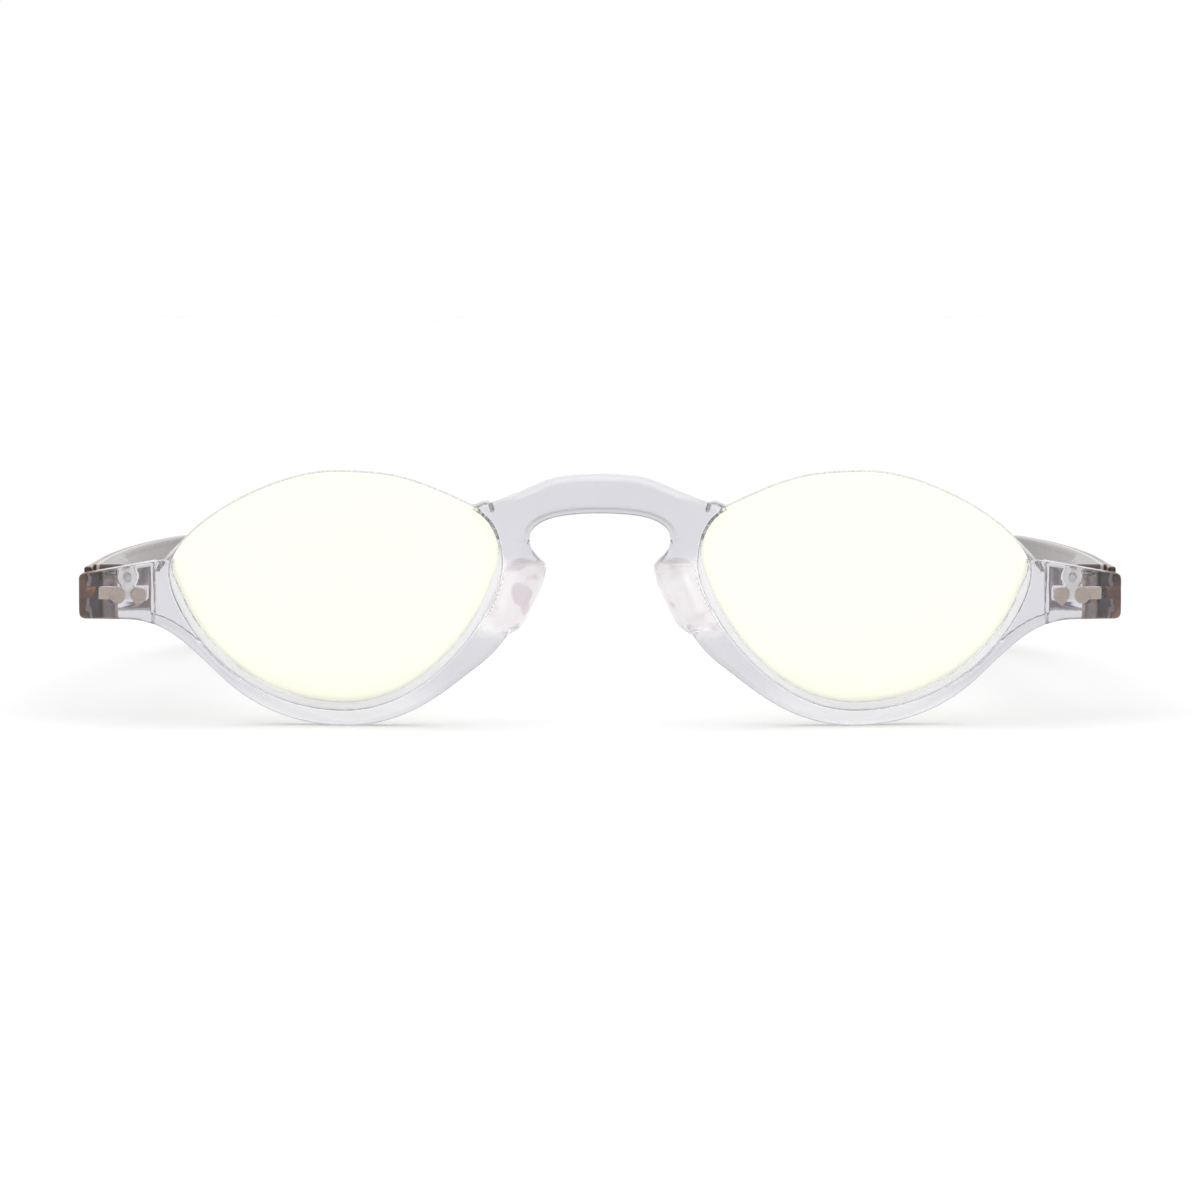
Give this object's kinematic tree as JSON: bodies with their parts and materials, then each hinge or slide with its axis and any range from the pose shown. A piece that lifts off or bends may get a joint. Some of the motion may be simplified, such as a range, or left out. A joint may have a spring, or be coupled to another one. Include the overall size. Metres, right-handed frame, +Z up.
{
  "type": "half-rim reading glasses",
  "caption": "Half-rim glasses: clear moulded front with nose pads, almond lenses held by a cord over the top, folding tortoiseshell temples on screw hinges.",
  "frame": {"origin": "middle of the plan of the bounding box, at the height of the table that the rims and temple tips stand on", "axes": "+X to the wearer's left, +Y back along the temples so the front faces -Y, +Z up"},
  "size_m": [0.1362, 0.15, 0.0331],
  "materials": {
    "clear_plastic": "polished, clear as crystal with a faint grey-lilac cast",
    "lens": "polished, clear with a faint cream tint from the blue-light filter",
    "nylon": "smooth translucent monofilament",
    "hinge_metal": "stamped nickel-silver, satin",
    "screw_steel": "turned steel",
    "tortoiseshell": "polished brown and amber mottled plastic"
  },
  "bodies": {
    "front": {"front_frame": "clear_plastic", "lens_left": "lens", "lens_right": "lens", "nylon_cord_left": "nylon", "nylon_cord_right": "nylon", "front_hinge_left": "hinge_metal", "front_hinge_right": "hinge_metal", "fixing_screw_left": "screw_steel", "fixing_screw_right": "screw_steel"},
    "temple_arm_left": {"temple_left": "tortoiseshell", "temple_hinge_left": "hinge_metal", "hinge_screw_left": "screw_steel", "temple_pins_left": "screw_steel"},
    "temple_arm_right": {"temple_right": "tortoiseshell", "temple_hinge_right": "hinge_metal", "hinge_screw_right": "screw_steel", "temple_pins_right": "screw_steel"}
  },
  "joints": [
    {"name": "temple_left_fold", "type": "hinge", "parent": "front", "child": "temple_arm_left", "pos_m": [0.064, -0.0617, 0.0167], "axis": [0, 0, 1], "range_deg": [0, 86]},
    {"name": "temple_right_fold", "type": "hinge", "parent": "front", "child": "temple_arm_right", "pos_m": [-0.064, -0.0617, 0.0167], "axis": [0, 0, -1], "range_deg": [0, 79]}
  ]
}
